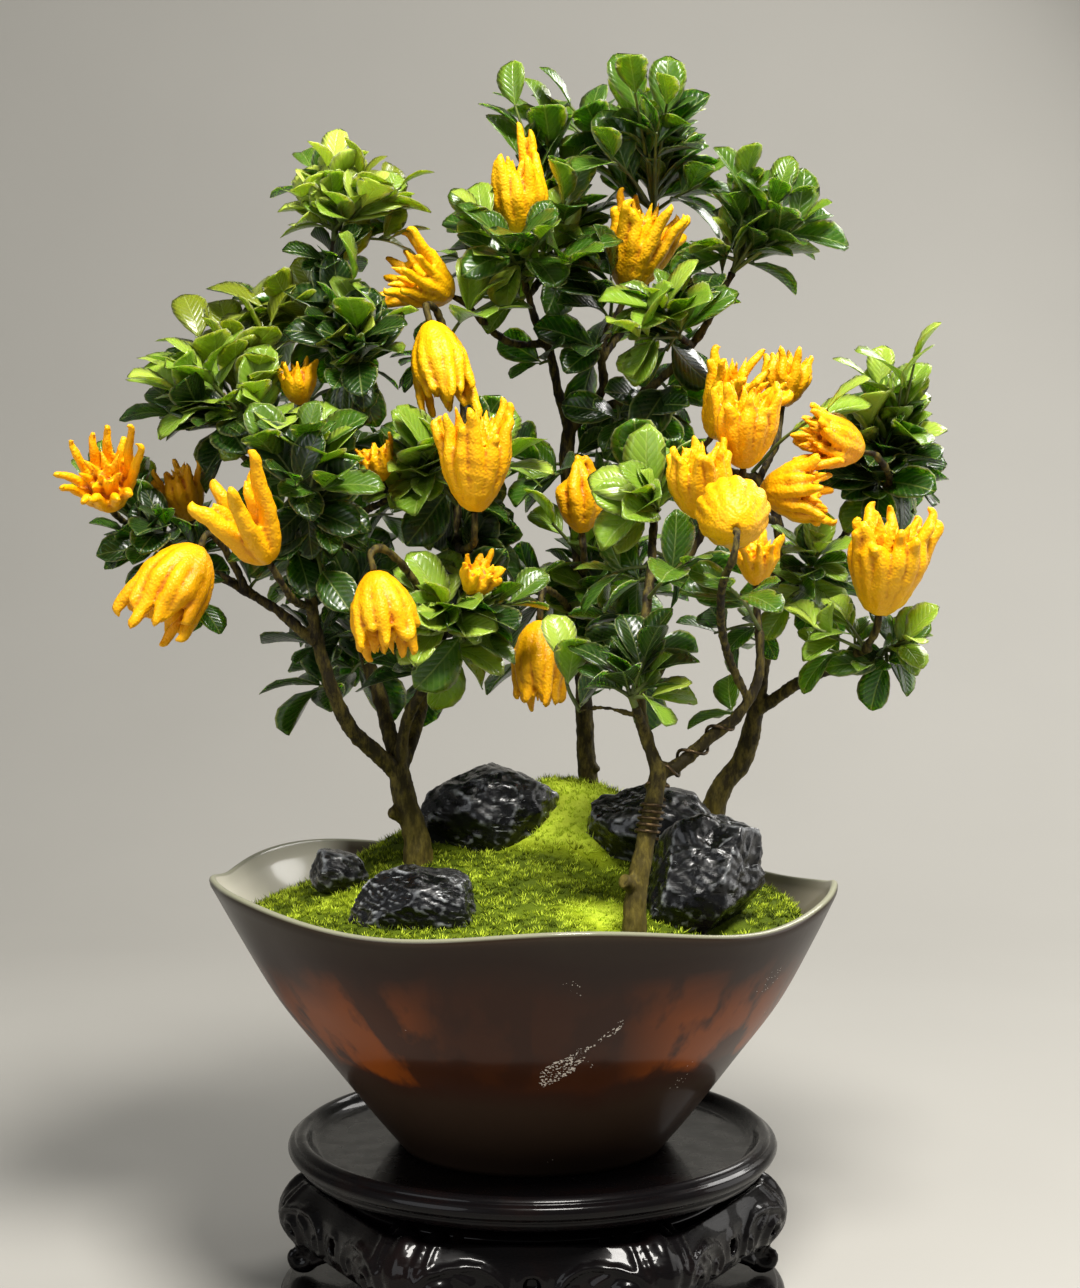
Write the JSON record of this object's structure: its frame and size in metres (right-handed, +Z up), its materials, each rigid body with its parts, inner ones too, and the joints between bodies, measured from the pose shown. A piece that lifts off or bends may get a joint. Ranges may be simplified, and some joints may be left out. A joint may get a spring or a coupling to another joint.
{
  "type": "buddhas hand bonsai",
  "caption": "Small fingered citron tree with several trunks, glossy leaves and yellow fruit, in a ruffled brown pot on a carved black stand.",
  "frame": {"origin": "centre of the stand's underside, on the pot's axis", "axes": "+Z up the tree, -Y towards the front, +X to the right seen from the front"},
  "size_m": [0.6181, 0.42, 0.8654],
  "materials": {
    "lacquer": "black lacquer, polished",
    "glaze": "dark brown glaze, glossy, greyer near the rim and nearly black at the foot",
    "soil": "damp potting soil, matte",
    "moss": "short bright moss, matte",
    "rock": "dark wet rock with thin white veins",
    "bark": "olive brown bark, rough",
    "wire": "dull brown training wire",
    "peel": "pebbled yellow orange peel, satin",
    "leaf": "glossy green leaf"
  },
  "bodies": {
    "root": {"stand_foot": "lacquer", "stand_legs": "lacquer", "stand_neck": "lacquer", "stand_tray": "lacquer", "pot": "glaze", "soil": "soil", "moss": "moss", "training_wire": "wire", "rock_back_left": "rock", "rock_small_left": "rock", "rock_front_left": "rock", "rock_back_right": "rock", "rock_front_right": "rock", "wood_left": "bark", "wood_middle": "bark", "wood_front_right": "bark", "wood_back_right": "bark", "fruit_01": "peel", "fruit_02": "peel", "fruit_03": "peel", "fruit_04": "peel", "fruit_05": "peel", "fruit_06": "peel", "fruit_07": "peel", "fruit_08": "peel", "fruit_09": "peel", "fruit_10": "peel", "fruit_11": "peel", "fruit_12": "peel", "fruit_13": "peel", "fruit_14": "peel", "fruit_15": "peel", "fruit_16": "peel", "fruit_17": "peel", "fruit_18": "peel", "fruit_19": "peel", "fruit_20": "peel", "fruit_21": "peel", "fruit_22": "peel", "fruit_23": "peel", "fruit_24": "peel", "fruit_25": "peel", "spray_top_left": "leaf", "spray_top_right": "leaf", "spray_right_high": "leaf", "spray_centre": "leaf", "spray_middle": "leaf", "spray_middle_right": "leaf", "spray_low_front": "leaf", "spray_left_top": "leaf", "spray_left_column": "leaf", "spray_far_left_high": "leaf", "spray_left_crown": "leaf", "spray_far_left": "leaf", "spray_left_low": "leaf", "spray_centre_left": "leaf", "spray_right_top": "leaf", "spray_right_middle": "leaf", "spray_right_low": "leaf"}
  },
  "joints": []
}
